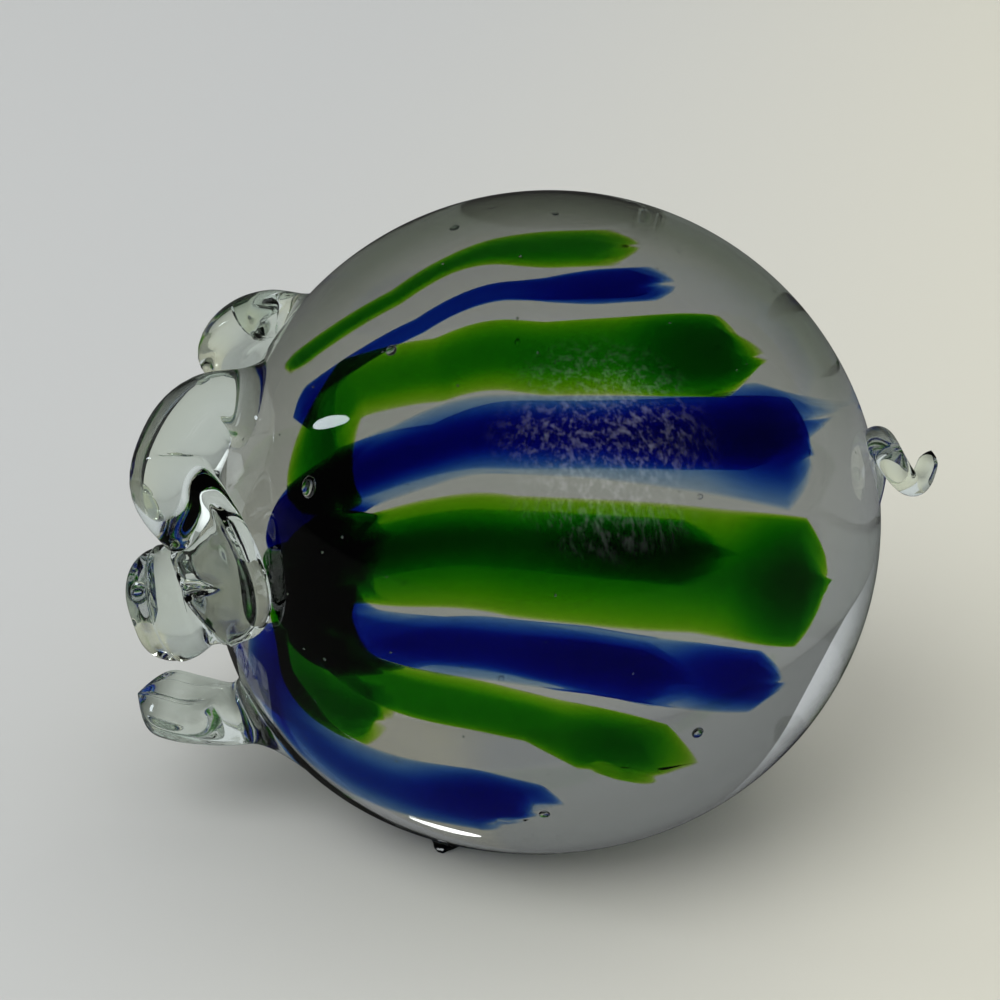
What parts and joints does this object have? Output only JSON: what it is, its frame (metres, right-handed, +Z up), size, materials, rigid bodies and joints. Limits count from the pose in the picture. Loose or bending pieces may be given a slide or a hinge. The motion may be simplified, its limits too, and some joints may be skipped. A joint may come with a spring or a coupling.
{
  "type": "glass pig paperweight",
  "caption": "Ball-bodied pig of clear glass with green and blue stripes of glass laid inside round a clear core, a ground flat foot, folded ears, button snout, forelegs and a curly tail.",
  "frame": {"origin": "middle of the round foot's ground face, on the floor", "axes": "+Z up, -X towards the snout, -Y the pig's left side"},
  "size_m": [0.0946, 0.076, 0.0725],
  "materials": {
    "clear_glass": "fire-polished clear glass with a faint grey-green tint and small bubbles; the foot is ground and polished",
    "green_glass": "transparent green glass, yellow-green where thin and near black where thick",
    "blue_glass": "transparent cobalt-blue glass, violet-blue where thick"
  },
  "bodies": {
    "root": {"clear_casing": "clear_glass", "clear_core": "clear_glass", "snout": "clear_glass", "ear_left": "clear_glass", "ear_right": "clear_glass", "foreleg_left": "clear_glass", "foreleg_right": "clear_glass", "tail": "clear_glass", "stripe_green_flank": "green_glass", "stripe_green_shoulder": "green_glass", "stripe_green_back": "green_glass", "stripe_green_far_shoulder": "green_glass", "stripe_green_far_belly": "green_glass", "stripe_green_belly": "green_glass", "stripe_blue_flank": "blue_glass", "stripe_blue_back": "blue_glass", "stripe_blue_far_back": "blue_glass", "stripe_blue_far_flank": "blue_glass", "stripe_blue_foot": "blue_glass", "stripe_blue_belly": "blue_glass"}
  },
  "joints": []
}
